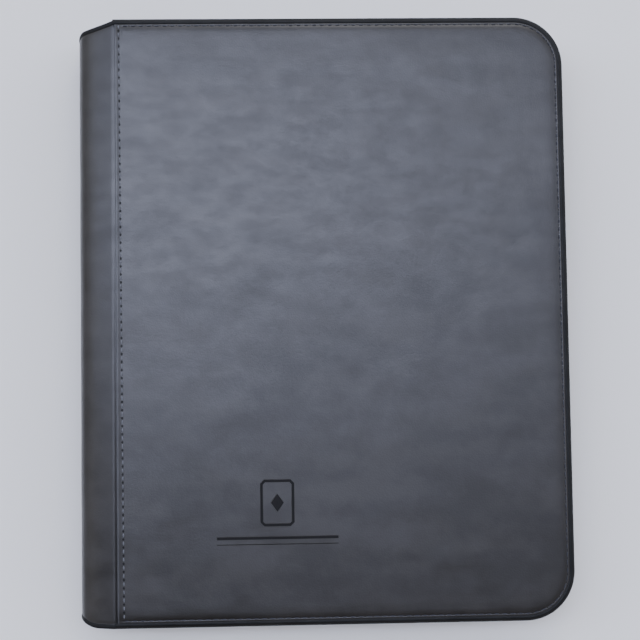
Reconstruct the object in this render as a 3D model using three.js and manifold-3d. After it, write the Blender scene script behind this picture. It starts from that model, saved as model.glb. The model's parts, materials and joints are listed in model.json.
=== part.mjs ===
// Zip-around trading card binder, lying closed on its back cover. Millimetres, +Z up.
// X runs from the spine (-X) to the free edge (+X), Y from tail (-Y) to head (+Y).
import * as THREE from 'three';
import Module from 'manifold-3d';
import { mergeVertices } from 'three/addons/utils/BufferGeometryUtils.js';

const wasm = await Module();
wasm.setup();

// Overall size
const HEIGHT = 345;
const WIDTH = 279;
const THICKNESS = 38;
const CORNER_RADIUS = 28;
const CORNER_STEPS = 12;
const GAP = 0.3;

// Cover: layers from the outside in, and their insets from the free edges
const SKIN = 0.9;
const FOAM = 0.8;
const BOARD = 1.8;
const LINING = 0.5;
const SKIN_INSET = 3.2;
const CORE_INSET = 6.2;
const SEAM_X = -117.5;
const CORE_LEFT_X = -110.4;

// Edge binding folded over the lip of each cover
const BINDING_WIDTH = 2.9;
const BINDING_HEIGHT = 2.9;
const BINDING_DROP = 0.5;

// Zip: tape wall, coil and slider
const TAPE_INSET = 5;
const TAPE = 0.6;
const FLANGE_REACH = 1.8;
const COIL_INSET = 4.3;
const COIL_WIDTH = 2;
const COIL_FROM_MIDDLE = 0.7;
const COIL_HEIGHT = 1.6;
const FRONT_ZIP_START_X = -90;
const BACK_TAPE_START_X = -110;
const BACK_COIL_START_X = -106;
const ZIP_STOP_X = -109.5;
const END_TAB_RIGHT_X = -93.3;
const END_GRIP = 0.4;

// Slider: two plates, a thin post between the coils and a crown; then its bail and tab
const SLIDER_X = -99;
const SLIDER_LENGTH = 12;
const SLIDER_HEIGHT = 9;
const SLIDER_PLATE = 1.1;
const POST_LENGTH = 3;
const POST_THICKNESS = 0.8;
const CROWN_LENGTH = 6.8;
const CROWN_WALL = 0.8;
const CROWN_HEIGHT = 2.4;
const PULL_BAR = 1.2;
const BAIL_LENGTH = 10.6;
const BAIL_HEIGHT = 6;
const TAB_START = 10.6;
const TAB_LENGTH = 26;
const TAB_HEIGHT = 6.8;
const TAB_THICKNESS = 1.9;
const TAB_CORNER = 2.4;
const LOOP_START = 7.2;
const LOOP_HEIGHT = 3;
const LOOP_THICKNESS = 3.4;

// Spine: the folds lie on the leather's outer face
const FOLD_X = -137.2;
const FOLD_Z = 27;
const SPINE_BOARD_X = -135.6;
const SPINE_BOARD_HEIGHT = 13.4;
const SPINE_LINING_HEIGHT = 21;
const FOLD_CLEARANCE = 0.25;
const FLAP_TANGENT_AT_SEAM = 9;
const FLAP_TANGENT_AT_FOLD = [4.2, 5.4];
const WALL_TANGENT_AT_FOLD = [1.5, 1.93];
const WALL_TANGENT_AT_MIDDLE = 3.4;
const SPINE_HEAD_INSET = 5.5;
const SPINE_HEAD_POWER = 0.7;
const SPINE_TAIL_INSET = 4.5;
const SPINE_TAIL_FROM = 0.45;
const SPINE_TAIL_POWER = 2.5;
const SPINE_BOARD_END_Y = 164.5;

// Leaves, welded pocket sheets bound in a block on the spine
const LEAF_COUNT = 20;
const POCKETS_PER_SIDE = 3;
const LEAF_PITCH = 1.25;
const LEAF_HEIGHT = 300;
const LEAF_FORE_EDGE_X = 122;
const LEAF_THICKNESS = 0.6;
const LEAF_ROOT_THICKNESS = 0.25;
const LEAF_MARGIN = 17;
const LEAF_BORDER = 3.5;
const POCKET_WELD = 3.2;
const LEAF_ROOT_X = -124;
const LEAF_ARCH = 3;
const BLOCK_CHAMFER = 5;

// Embossed mark low on the front cover: a plain card outline with a diamond
const MARK_X = -28;
const MARK_Y = -104;
const MARK_WIDTH = 19;
const MARK_HEIGHT = 26;
const MARK_LINE = 1.4;
const MARK_DEPTH = 0.35;
const MARK_CORNER = 0.14;
const DIAMOND_SHARE = 0.36;

// Places that follow from the sizes
const EDGE_X = WIDTH / 2;
const EDGE_Y = HEIGHT / 2;
const MIDDLE_Z = THICKNESS / 2;
const SKIN_Z = THICKNESS - SKIN;
const FOAM_Z = SKIN_Z - GAP - FOAM;
const BOARD_Z = FOAM_Z - GAP - BOARD;
const LINING_Z = BOARD_Z - GAP - LINING;
const COIL_OUTER_Y = EDGE_Y - COIL_INSET;
const COIL_INNER_Y = COIL_OUTER_Y - COIL_WIDTH;
const OUTER_PLATE_Y = COIL_OUTER_Y + GAP;
const PULL_Y = OUTER_PLATE_Y + SLIDER_PLATE + GAP + PULL_BAR / 2;

const model = new THREE.Group();
model.name = 'trading_card_binder';

const MATERIALS = {
  leather: { color: 0x474b54, roughness: 0.55, metalness: 0 },
  binding: { color: 0x1d1e20, roughness: 0.8, metalness: 0 },
  foam: { color: 0xd9d6cc, roughness: 0.95, metalness: 0 },
  board: { color: 0x2e2d2b, roughness: 0.9, metalness: 0 },
  lining: { color: 0x17181a, roughness: 0.95, metalness: 0 },
  tape: { color: 0x141517, roughness: 0.9, metalness: 0 },
  coil: { color: 0x101113, roughness: 0.4, metalness: 0 },
  metal: { color: 0x4c4e52, roughness: 0.3, metalness: 0.9 },
  leaf: { color: 0x1b1c1f, roughness: 0.2, metalness: 0 },
  block: { color: 0x1a1b1d, roughness: 0.6, metalness: 0 },
};

function add(name, geometry, material) {
  const mesh = new THREE.Mesh(geometry, new THREE.MeshStandardMaterial(MATERIALS[material]));
  mesh.name = name;
  model.add(mesh);
}

// ---- Solid helpers ----

function toManifold(geometry) {
  const bare = geometry.clone();
  bare.deleteAttribute('normal');
  bare.deleteAttribute('uv');
  const merged = mergeVertices(bare, 1e-4);
  return new wasm.Manifold(new wasm.Mesh({
    numProp: 3,
    vertProperties: new Float32Array(merged.attributes.position.array),
    triVerts: new Uint32Array(merged.index.array),
  }));
}

function fromManifold(solid) {
  const mesh = solid.getMesh();
  const geometry = new THREE.BufferGeometry();
  geometry.setAttribute('position', new THREE.BufferAttribute(new Float32Array(mesh.vertProperties), 3));
  geometry.setIndex(new THREE.BufferAttribute(new Uint32Array(mesh.triVerts), 1));
  geometry.computeVertexNormals();
  return geometry;
}

function fuse(...geometries) {
  return fromManifold(wasm.Manifold.union(geometries.map(toManifold)));
}

function cut(geometry, ...tools) {
  return fromManifold(toManifold(geometry).subtract(wasm.Manifold.union(tools.map(toManifold))));
}

function box(x0, x1, y0, y1, z0, z1) {
  const geometry = new THREE.BoxGeometry(x1 - x0, y1 - y0, z1 - z0);
  return geometry.translate((x0 + x1) / 2, (y0 + y1) / 2, (z0 + z1) / 2);
}

// A box of a given height whose middle lies level with the middle of the binder.
function levelBox(x0, x1, y0, y1, height) {
  return box(x0, x1, y0, y1, MIDDLE_Z - height / 2, MIDDLE_Z + height / 2);
}

// A plan outline in X and Y raised from z0 to z1.
function slab(outline, z0, z1) {
  const geometry = new THREE.ExtrudeGeometry(new THREE.Shape(outline), {
    depth: z1 - z0,
    bevelEnabled: false,
  });
  return geometry.translate(0, 0, z0);
}

// A cross-section in X and Z drawn out along Y.
function prism(section, y0, y1) {
  const geometry = new THREE.ExtrudeGeometry(new THREE.Shape(section), {
    depth: y1 - y0,
    bevelEnabled: false,
  });
  return geometry.rotateX(Math.PI / 2).translate(0, y1, 0);
}

// Turns a front cover solid over to make its twin on the back cover.
function turnOver(geometry) {
  return geometry.clone().rotateX(Math.PI).translate(0, 0, THICKNESS);
}

// The line round tail, free edge and head at a given inset, starting and ending at leftX.
function edgeLine(inset, leftX) {
  const x = EDGE_X - inset;
  const y = EDGE_Y - inset;
  const radius = CORNER_RADIUS - inset;
  const points = [new THREE.Vector2(leftX, -y)];
  for (const [side, from] of [[-1, -Math.PI / 2], [1, 0]]) {
    for (let i = 0; i <= CORNER_STEPS; i += 1) {
      const angle = from + (i / CORNER_STEPS) * (Math.PI / 2);
      points.push(new THREE.Vector2(
        x - radius + radius * Math.cos(angle),
        side * (y - radius) + radius * Math.sin(angle),
      ));
    }
  }
  points.push(new THREE.Vector2(leftX, y));
  return points;
}

// A strip running round the three free edges between two insets.
function edgeStrip(outerInset, innerInset, leftX, z0, z1) {
  const inner = edgeLine(innerInset, leftX).reverse();
  return slab([...edgeLine(outerInset, leftX), ...inner], z0, z1);
}

// ---- Covers, drawn as the front cover ----

function coverSkin() {
  return slab(edgeLine(SKIN_INSET, SEAM_X), SKIN_Z, THICKNESS);
}

function markOutline(width, height) {
  const corner = MARK_CORNER * width;
  const shape = new THREE.Shape();
  shape.moveTo(MARK_X - width / 2 + corner, MARK_Y - height / 2);
  shape.lineTo(MARK_X + width / 2 - corner, MARK_Y - height / 2);
  shape.lineTo(MARK_X + width / 2, MARK_Y - height / 2 + corner);
  shape.lineTo(MARK_X + width / 2, MARK_Y + height / 2 - corner);
  shape.lineTo(MARK_X + width / 2 - corner, MARK_Y + height / 2);
  shape.lineTo(MARK_X - width / 2 + corner, MARK_Y + height / 2);
  shape.lineTo(MARK_X - width / 2, MARK_Y + height / 2 - corner);
  shape.lineTo(MARK_X - width / 2, MARK_Y - height / 2 + corner);
  return shape.getPoints();
}

function diamondOutline(width, height) {
  return [
    new THREE.Vector2(MARK_X, MARK_Y - height / 2),
    new THREE.Vector2(MARK_X + width / 2, MARK_Y),
    new THREE.Vector2(MARK_X, MARK_Y + height / 2),
    new THREE.Vector2(MARK_X - width / 2, MARK_Y),
  ];
}

function markedSkin() {
  const low = THICKNESS - MARK_DEPTH;
  const high = THICKNESS + 1;
  const outer = slab(markOutline(MARK_WIDTH, MARK_HEIGHT), low, high);
  const inner = slab(markOutline(MARK_WIDTH - 2 * MARK_LINE, MARK_HEIGHT - 2 * MARK_LINE), low - 1, high + 1);
  const diamond = slab(diamondOutline(MARK_WIDTH * DIAMOND_SHARE, MARK_HEIGHT * DIAMOND_SHARE), low, high);
  return cut(coverSkin(), cut(outer, inner), diamond);
}

function coverLayer(low, thick) {
  return slab(edgeLine(CORE_INSET, CORE_LEFT_X), low, low + thick);
}

function edgeBinding() {
  const top = THICKNESS - BINDING_DROP;
  return edgeStrip(0, BINDING_WIDTH, SEAM_X, top - BINDING_HEIGHT, top);
}

// The tape stands as a wall under the lip, with a flange sewn to the lip's underside.
function zipTape(startX) {
  const top = SKIN_Z - GAP;
  const low = MIDDLE_Z + COIL_FROM_MIDDLE + COIL_HEIGHT + GAP;
  const wall = edgeStrip(TAPE_INSET, TAPE_INSET + TAPE, startX, low, top);
  const flange = edgeStrip(TAPE_INSET - FLANGE_REACH, TAPE_INSET + TAPE, startX, top - TAPE, top);
  return fuse(wall, flange);
}

function zipCoil(startX) {
  const low = MIDDLE_Z + COIL_FROM_MIDDLE;
  return edgeStrip(COIL_INSET, COIL_INSET + COIL_WIDTH, startX, low, low + COIL_HEIGHT);
}

// ---- Spine leather ----

// Outer face of the rounded spine from the lap seam to the front fold.
function flapCurve() {
  const top = SKIN_Z - GAP;
  const [run, rise] = FLAP_TANGENT_AT_FOLD;
  const curve = new THREE.CubicBezierCurve(
    new THREE.Vector2(SEAM_X, top),
    new THREE.Vector2(SEAM_X - FLAP_TANGENT_AT_SEAM, top),
    new THREE.Vector2(FOLD_X + run, FOLD_Z + rise),
    new THREE.Vector2(FOLD_X, FOLD_Z),
  );
  return curve.getSpacedPoints(14);
}

// Outer face of the spine wall between the two folds.
function spineCurve() {
  const [run, drop] = WALL_TANGENT_AT_FOLD;
  const upper = new THREE.CubicBezierCurve(
    new THREE.Vector2(FOLD_X, FOLD_Z),
    new THREE.Vector2(FOLD_X - run, FOLD_Z - drop),
    new THREE.Vector2(-EDGE_X, MIDDLE_Z + WALL_TANGENT_AT_MIDDLE),
    new THREE.Vector2(-EDGE_X, MIDDLE_Z),
  ).getSpacedPoints(7);
  const lower = upper.slice(0, -1).reverse().map((p) => new THREE.Vector2(p.x, THICKNESS - p.y));
  return [...upper, ...lower];
}

// Moves an end of a line along itself so that it stops short of a fold.
function trimEnd(points, amount) {
  const last = points[points.length - 1];
  const before = points[points.length - 2];
  const back = before.clone().sub(last).normalize().multiplyScalar(amount);
  return [...points.slice(0, -1), last.clone().add(back)];
}

function trimStart(points, amount) {
  return trimEnd([...points].reverse(), amount).reverse();
}

// Gives a line thickness on its left-hand side as it runs from first point to last.
function thicken(points, amount) {
  const inner = points.map((point, i) => {
    const before = points[Math.max(i - 1, 0)];
    const after = points[Math.min(i + 1, points.length - 1)];
    const along = after.clone().sub(before).normalize();
    return new THREE.Vector2(point.x - along.y * amount, point.y + along.x * amount);
  });
  return [...points, ...inner.reverse()];
}

// How far the spine leather's head and tail draw in, at a share of the way from seam to spine.
function headInset(share) {
  return SPINE_HEAD_INSET * share ** SPINE_HEAD_POWER;
}

function tailInset(share) {
  const rounded = Math.max(0, (share - SPINE_TAIL_FROM) / (1 - SPINE_TAIL_FROM));
  return SPINE_TAIL_INSET * rounded ** SPINE_TAIL_POWER;
}

// Plan of the spine leather: its head slopes in towards the back of the spine, its tail rounds off.
function spinePlan(headSide) {
  const endY = EDGE_Y - SKIN_INSET;
  const lap = [new THREE.Vector2(-100, endY), new THREE.Vector2(SEAM_X, endY)];
  const head = [...lap];
  const tail = [...lap];
  for (let i = 0; i <= 10; i += 1) {
    const share = i / 10;
    const x = SEAM_X - share * (SEAM_X + EDGE_X);
    head.push(new THREE.Vector2(x, EDGE_Y - headInset(share)));
    tail.push(new THREE.Vector2(x, EDGE_Y - tailInset(share)));
  }
  head.push(new THREE.Vector2(-EDGE_X - 1, EDGE_Y - SPINE_HEAD_INSET));
  tail.push(new THREE.Vector2(-EDGE_X - 1, EDGE_Y - SPINE_TAIL_INSET));
  const below = tail.map((p) => new THREE.Vector2(p.x, -p.y)).reverse();
  const plan = slab([...head, ...below], -1, THICKNESS + 1);
  return headSide > 0 ? plan : turnOver(plan);
}

function spineLeather(section, headSide) {
  const strip = prism(section, -EDGE_Y - 1, EDGE_Y + 1);
  return fromManifold(toManifold(strip).intersect(toManifold(spinePlan(headSide))));
}

function hingeFlap(headSide) {
  const lap = new THREE.Vector2(CORE_LEFT_X - GAP, SKIN_Z - GAP);
  const line = trimEnd([lap, ...flapCurve()], FOLD_CLEARANCE);
  return spineLeather(thicken(line, SKIN), headSide);
}

function spineSkin() {
  const line = trimStart(trimEnd(spineCurve(), FOLD_CLEARANCE), FOLD_CLEARANCE);
  return spineLeather(thicken(line, SKIN), 1);
}

// ---- Leaves ----

function leafPosition(number) {
  const fromMiddle = (LEAF_COUNT + 1) / 2 - number;
  const share = fromMiddle / ((LEAF_COUNT - 1) / 2);
  return {
    x: LEAF_ROOT_X + LEAF_ARCH * (1 - share * share),
    z: MIDDLE_Z + fromMiddle * LEAF_PITCH,
  };
}

// A backing sheet with three by three welded pockets standing a little proud on both sides.
function leaf(number) {
  const { x, z } = leafPosition(number);
  const thin = LEAF_ROOT_THICKNESS / 2;
  const thick = LEAF_THICKNESS / 2;
  const half = LEAF_HEIGHT / 2;
  const left = x + LEAF_MARGIN;
  const across = (LEAF_FORE_EDGE_X - LEAF_BORDER - left) / POCKETS_PER_SIDE;
  const up = (LEAF_HEIGHT - 2 * LEAF_BORDER) / POCKETS_PER_SIDE;
  const weld = POCKET_WELD / 2;
  const pockets = [];
  for (let column = 0; column < POCKETS_PER_SIDE; column += 1) {
    for (let row = 0; row < POCKETS_PER_SIDE; row += 1) {
      const x0 = left + column * across;
      const y0 = -half + LEAF_BORDER + row * up;
      pockets.push(box(x0 + weld, x0 + across - weld, y0 + weld, y0 + up - weld, z - thick, z + thick));
    }
  }
  return fuse(box(x, LEAF_FORE_EDGE_X, -half, half, z - thin, z + thin), ...pockets);
}

// The leaves' bound edges, welded together and fixed to the inside of the spine.
function leafBlock(leftX) {
  const face = [];
  for (let number = LEAF_COUNT; number >= 1; number -= 1) {
    const { x, z } = leafPosition(number);
    face.push(new THREE.Vector2(x - GAP, z));
  }
  const top = leafPosition(1).z + GAP;
  const low = leafPosition(LEAF_COUNT).z - GAP;
  const section = [
    new THREE.Vector2(leftX + BLOCK_CHAMFER, top),
    new THREE.Vector2(leftX, top - BLOCK_CHAMFER),
    new THREE.Vector2(leftX, low + BLOCK_CHAMFER),
    new THREE.Vector2(leftX + BLOCK_CHAMFER, low),
    new THREE.Vector2(face[0].x, low),
    ...face,
    new THREE.Vector2(face[0].x, top),
  ];
  return prism(section, -LEAF_HEIGHT / 2, LEAF_HEIGHT / 2);
}

// ---- Zip slider and pull ----

// A face in X and Z with rounded corners, level with the middle, thickened from y0 to y1.
function plate(x0, x1, height, corner, y0, y1) {
  const z0 = MIDDLE_Z - height / 2;
  const z1 = MIDDLE_Z + height / 2;
  const shape = new THREE.Shape();
  shape.moveTo(x0 + corner, z0);
  shape.lineTo(x1 - corner, z0);
  shape.absarc(x1 - corner, z0 + corner, corner, -Math.PI / 2, 0, false);
  shape.absarc(x1 - corner, z1 - corner, corner, 0, Math.PI / 2, false);
  shape.absarc(x0 + corner, z1 - corner, corner, Math.PI / 2, Math.PI, false);
  shape.absarc(x0 + corner, z0 + corner, corner, Math.PI, 1.5 * Math.PI, false);
  return prism(shape.getPoints(4), y0, y1);
}

// Two plates joined by a thin post that runs between the coils.
function sliderFrame() {
  const x0 = SLIDER_X - SLIDER_LENGTH / 2;
  const x1 = SLIDER_X + SLIDER_LENGTH / 2;
  const innerY = COIL_INNER_Y - GAP;
  const outer = plate(x0, x1, SLIDER_HEIGHT, 2, OUTER_PLATE_Y, OUTER_PLATE_Y + SLIDER_PLATE);
  const inner = plate(x0, x1, SLIDER_HEIGHT, 2, innerY - SLIDER_PLATE, innerY);
  const post = levelBox(x0 + 1, x0 + 1 + POST_LENGTH, innerY - 0.1, OUTER_PLATE_Y + 0.1, POST_THICKNESS);
  return [outer, inner, post];
}

// A bridge over the outer plate that holds the bail's bar.
function sliderCrown() {
  const half = CROWN_LENGTH / 2;
  const eyeHalf = half - 1.1;
  const eyeY = PULL_Y + PULL_BAR / 2 + GAP;
  const crownY = eyeY + CROWN_WALL;
  const bridge = levelBox(SLIDER_X - half, SLIDER_X + half, OUTER_PLATE_Y + 0.5, crownY, CROWN_HEIGHT);
  const eye = levelBox(SLIDER_X - eyeHalf, SLIDER_X + eyeHalf, OUTER_PLATE_Y + SLIDER_PLATE, eyeY, 4);
  return cut(bridge, eye);
}

function pullBail() {
  const half = PULL_BAR / 2;
  const end = SLIDER_X - half + BAIL_LENGTH;
  const outer = plate(SLIDER_X - half, end, BAIL_HEIGHT, 0.5, PULL_Y - half, PULL_Y + half);
  const hole = levelBox(SLIDER_X + half, end - PULL_BAR, PULL_Y - 2, PULL_Y + 2, BAIL_HEIGHT - 2 * PULL_BAR);
  return cut(outer, hole);
}

// A flat tab whose narrow loop wraps the end bar of the bail.
function pullTab() {
  const start = SLIDER_X + TAB_START;
  const half = TAB_THICKNESS / 2;
  const loopHalf = LOOP_THICKNESS / 2;
  const eyeHalf = PULL_BAR / 2 + GAP;
  const eyeX = SLIDER_X + BAIL_LENGTH - PULL_BAR;
  const tab = plate(start, start + TAB_LENGTH, TAB_HEIGHT, TAB_CORNER, PULL_Y - half, PULL_Y + half);
  const loop = levelBox(SLIDER_X + LOOP_START, start + 1, PULL_Y - loopHalf, PULL_Y + loopHalf, LOOP_HEIGHT);
  const eye = levelBox(eyeX - eyeHalf, eyeX + eyeHalf, PULL_Y - eyeHalf, PULL_Y + eyeHalf, 4);
  return fuse(tab, cut(loop, eye));
}

// ---- Assembly ----

function addCover(side, place, zipStartX, coilStartX) {
  add(`${side}_cover_foam`, place(coverLayer(FOAM_Z, FOAM)), 'foam');
  add(`${side}_cover_board`, place(coverLayer(BOARD_Z, BOARD)), 'board');
  add(`${side}_cover_lining`, place(coverLayer(LINING_Z, LINING)), 'lining');
  add(`${side}_edge_binding`, place(edgeBinding()), 'binding');
  add(`${side}_hinge_flap`, place(hingeFlap(side === 'front' ? 1 : -1)), 'leather');
  add(`${side}_zip_tape`, place(zipTape(zipStartX)), 'tape');
  add(`${side}_zip_coil`, place(zipCoil(coilStartX)), 'coil');
}

function addSpine() {
  const end = SPINE_BOARD_END_Y;
  const boardRight = SPINE_BOARD_X + BOARD;
  const liningLeft = boardRight + GAP;
  const liningRight = liningLeft + LINING;
  add('spine_skin', spineSkin(), 'leather');
  add('spine_board', levelBox(SPINE_BOARD_X, boardRight, -end, end, SPINE_BOARD_HEIGHT), 'board');
  add('spine_lining', levelBox(liningLeft, liningRight, -end, end, SPINE_LINING_HEIGHT), 'lining');
  add('leaf_block', leafBlock(liningRight + GAP), 'block');
}

// The sewn tab over the zip's far end, at the tail, and the stop behind the slider, at the head.
function addZipEnds() {
  const near = COIL_INNER_Y - END_GRIP;
  const far = COIL_OUTER_Y + END_GRIP;
  const coilLow = MIDDLE_Z - COIL_FROM_MIDDLE - COIL_HEIGHT;
  const stopEnd = BACK_COIL_START_X - GAP;
  const tabLow = MIDDLE_Z - COIL_FROM_MIDDLE + GAP;
  add('zip_end_tab', box(BACK_TAPE_START_X, END_TAB_RIGHT_X, -far, -near, tabLow, MIDDLE_Z + 5), 'binding');
  add('zip_stop', box(ZIP_STOP_X, stopEnd, near, far, coilLow, MIDDLE_Z + 1), 'metal');
}

add('front_cover_skin', markedSkin(), 'leather');
addCover('front', (geometry) => geometry, FRONT_ZIP_START_X, FRONT_ZIP_START_X);
add('back_cover_skin', turnOver(coverSkin()), 'leather');
addCover('back', turnOver, BACK_TAPE_START_X, BACK_COIL_START_X);
addSpine();
addZipEnds();
add('zip_slider', fuse(...sliderFrame(), sliderCrown()), 'metal');
add('pull_bail', pullBail(), 'metal');
add('pull_tab', pullTab(), 'leather');
for (let number = 1; number <= LEAF_COUNT; number += 1) {
  add(`leaf_${String(number).padStart(2, '0')}`, leaf(number), 'leaf');
}

export default model;
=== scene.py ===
# Looks for the zip-around trading card binder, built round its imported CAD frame.
import json
import math
import random

import bmesh
import bpy
import numpy as np
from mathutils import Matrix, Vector, noise


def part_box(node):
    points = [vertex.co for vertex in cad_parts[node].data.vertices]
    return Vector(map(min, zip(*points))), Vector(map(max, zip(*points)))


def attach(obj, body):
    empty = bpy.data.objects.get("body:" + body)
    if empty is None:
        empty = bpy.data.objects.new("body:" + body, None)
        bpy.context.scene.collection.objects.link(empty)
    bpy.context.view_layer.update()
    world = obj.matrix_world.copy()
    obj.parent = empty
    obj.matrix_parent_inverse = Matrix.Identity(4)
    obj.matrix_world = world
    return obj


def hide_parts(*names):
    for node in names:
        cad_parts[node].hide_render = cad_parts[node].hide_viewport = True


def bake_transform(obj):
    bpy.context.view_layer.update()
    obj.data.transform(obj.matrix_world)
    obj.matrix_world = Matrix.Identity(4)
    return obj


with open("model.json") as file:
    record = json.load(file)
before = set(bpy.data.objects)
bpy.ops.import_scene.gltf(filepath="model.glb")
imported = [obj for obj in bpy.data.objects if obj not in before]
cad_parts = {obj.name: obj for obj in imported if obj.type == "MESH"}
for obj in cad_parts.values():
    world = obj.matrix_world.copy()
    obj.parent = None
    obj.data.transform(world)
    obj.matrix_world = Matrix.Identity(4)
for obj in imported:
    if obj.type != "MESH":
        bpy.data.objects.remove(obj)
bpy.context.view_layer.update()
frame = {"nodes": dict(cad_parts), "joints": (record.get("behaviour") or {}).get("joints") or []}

MM = 0.001
RNG = random.Random(7)

# ---- Dimensions taken from the frame, in millimetres ----


def box_mm(node):
    low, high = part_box(node)
    return [c / MM for c in low], [c / MM for c in high]


SKIN_LOW, SKIN_HIGH = box_mm("front_cover_skin")
BAND_HIGH = box_mm("front_edge_binding")[1]
SPINE_LOW = box_mm("spine_skin")[0]
SEAM_X = SKIN_LOW[0]
EDGE_X = BAND_HIGH[0]
EDGE_Y = BAND_HIGH[1]
TOP_Z = SKIN_HIGH[2]
MIDDLE_Z = TOP_Z / 2
SKIN_INSET = EDGE_Y - SKIN_HIGH[1]
SPINE_X = SPINE_LOW[0]
joints = {j["name"]: j for j in frame["joints"]}
FOLD_X = joints["front_cover_hinge"]["pos_m"][0] / MM
FOLD_Z = joints["front_cover_hinge"]["pos_m"][2] / MM

# ---- Dimensions of the details, in millimetres ----

CORNER_R = 28.0
SKIN_CROWN = 0.12
STITCH_PITCH = 4.5
STITCH_INSET = 4.4
TOOTH_PITCH = 1.5
POST_REACH = 0.45
POST_HALF = 0.13
SPINE_LEATHER = 0.9
SPINE_HEAD_INSET, SPINE_TAIL_INSET = 5.5, 4.5
SPINE_PLAIN_END = 8.0
SPINE_TRIM_REACH = 2.7
GUTTER_DROPS = 1.5, 0.35
GUTTER_WIDTH = 1.1
LEAF_COUNT = 20
LEAF_MARGIN = 17.0
LEAF_BORDER = 3.5

# The mark: a card outline with a diamond in it, over a thick and a thin rule
MARK = {"x": -28.0, "y": -104.0, "width": 19.0, "height": 26.0}
MARK_CORNER_CUT = 1.5
MARK_LINE_HALF = 0.7
MARK_DIAMOND_HALF = 3.6, 5.0
MARK_RULES = ((19.5, 1.5), (23.0, 0.35))
MARK_RULE_REACH = 34.0

# ---- Colours and light ----

LEATHER_DARK, LEATHER_LIGHT = (0.0148, 0.0132, 0.0118), (0.0262, 0.0238, 0.0223)
# Painted highlight: the lighter colour on the panels' raised edge at the seam, where that edge catches the
# light
SEAM_EDGE_HIGHLIGHT = (0.055, 0.057, 0.064)
STAMPED = (0.003, 0.003, 0.004)
WEAVE_SHARE = 0.159155
WALL_LOW, WALL_HIGH = 1.3, 3.4
WINDOW_LEVEL = 13.0
CEILING_LEVEL = 0.08
FLOOR_HALF = 6
CAMERA_LENS = 81.3
CAMERA_PLACE = (-0.0335, -0.0531, 0.854)
CAMERA_TURN = (3.62, -2.17, -0.72)


# ---- Materials ----


class Nodes:
    """A short way to write the node tree of one material, or of the world."""

    def __init__(self, name, world=False):
        owner = (bpy.data.worlds if world else bpy.data.materials).new(name)
        owner.use_nodes = True
        self.material = owner
        self.tree = owner.node_tree
        self.shader = self.tree.nodes["Background" if world else "Principled BSDF"]
        self.place = self.tree.nodes.new("ShaderNodeTexCoord").outputs["Generated" if world else "Object"]

    def node(self, kind, **settings):
        made = self.tree.nodes.new(kind)
        for key, value in settings.items():
            setattr(made, key, value)
        return made

    def link(self, source, target):
        if isinstance(source, (int, float)):
            target.default_value = source
        elif isinstance(source, tuple):
            target.default_value = (*source, 1.0) if len(source) == 3 else source
        else:
            self.tree.links.new(source, target)

    def scaled(self, x, y, z):
        mapping = self.node("ShaderNodeMapping")
        self.link(self.place, mapping.inputs["Vector"])
        mapping.inputs["Scale"].default_value = (x, y, z)
        return mapping.outputs["Vector"]

    def noise(self, scale, detail=3.0, rough=0.5, place=None):
        made = self.node("ShaderNodeTexNoise")
        self.link(place or self.place, made.inputs["Vector"])
        made.inputs["Scale"].default_value = scale
        made.inputs["Detail"].default_value = detail
        made.inputs["Roughness"].default_value = rough
        return made.outputs["Fac"]

    def voronoi(self, scale, feature="F1", place=None):
        made = self.node("ShaderNodeTexVoronoi", feature=feature)
        self.link(place or self.place, made.inputs["Vector"])
        made.inputs["Scale"].default_value = scale
        return made.outputs["Distance"]

    def wave(self, scale, direction="X", distort=0.0, place=None):
        made = self.node("ShaderNodeTexWave", bands_direction=direction)
        self.link(place or self.place, made.inputs["Vector"])
        made.inputs["Scale"].default_value = scale
        made.inputs["Distortion"].default_value = distort
        return made.outputs["Fac"]

    def math(self, operation, a, b=0.0, clamp=False):
        made = self.node("ShaderNodeMath", operation=operation, use_clamp=clamp)
        self.link(a, made.inputs[0])
        self.link(b, made.inputs[1])
        return made.outputs[0]

    def weighted(self, *pairs):
        """The sum of some values, each times its weight."""
        total = None
        for value, weight in pairs:
            term = self.math("MULTIPLY", value, weight)
            total = term if total is None else self.math("ADD", total, term)
        return total

    def remap(self, value, low, high, to_low=0.0, to_high=1.0):
        made = self.node("ShaderNodeMapRange", interpolation_type="SMOOTHSTEP")
        self.link(value, made.inputs["Value"])
        ends = {"From Min": low, "From Max": high, "To Min": to_low, "To Max": to_high}
        for key, number in ends.items():
            made.inputs[key].default_value = number
        return made.outputs["Result"]

    def mix(self, share, a, b):
        made = self.node("ShaderNodeMix", data_type="RGBA")
        self.link(share, made.inputs[0])
        self.link(a, made.inputs[6])
        self.link(b, made.inputs[7])
        return made.outputs[2]

    def bump(self, height, strength, distance, under=None):
        made = self.node("ShaderNodeBump")
        made.inputs["Strength"].default_value = strength
        made.inputs["Distance"].default_value = distance
        self.link(height, made.inputs["Height"])
        if under is not None:
            self.link(under, made.inputs["Normal"])
        return made.outputs["Normal"]

    def finish(self, color, rough, normal=None, **fixed):
        self.link(color, self.shader.inputs["Base Color"])
        self.link(rough, self.shader.inputs["Roughness"])
        if normal is not None:
            self.link(normal, self.shader.inputs["Normal"])
        for key, value in fixed.items():
            self.shader.inputs[key.replace("_", " ")].default_value = value
        return self.material


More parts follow.
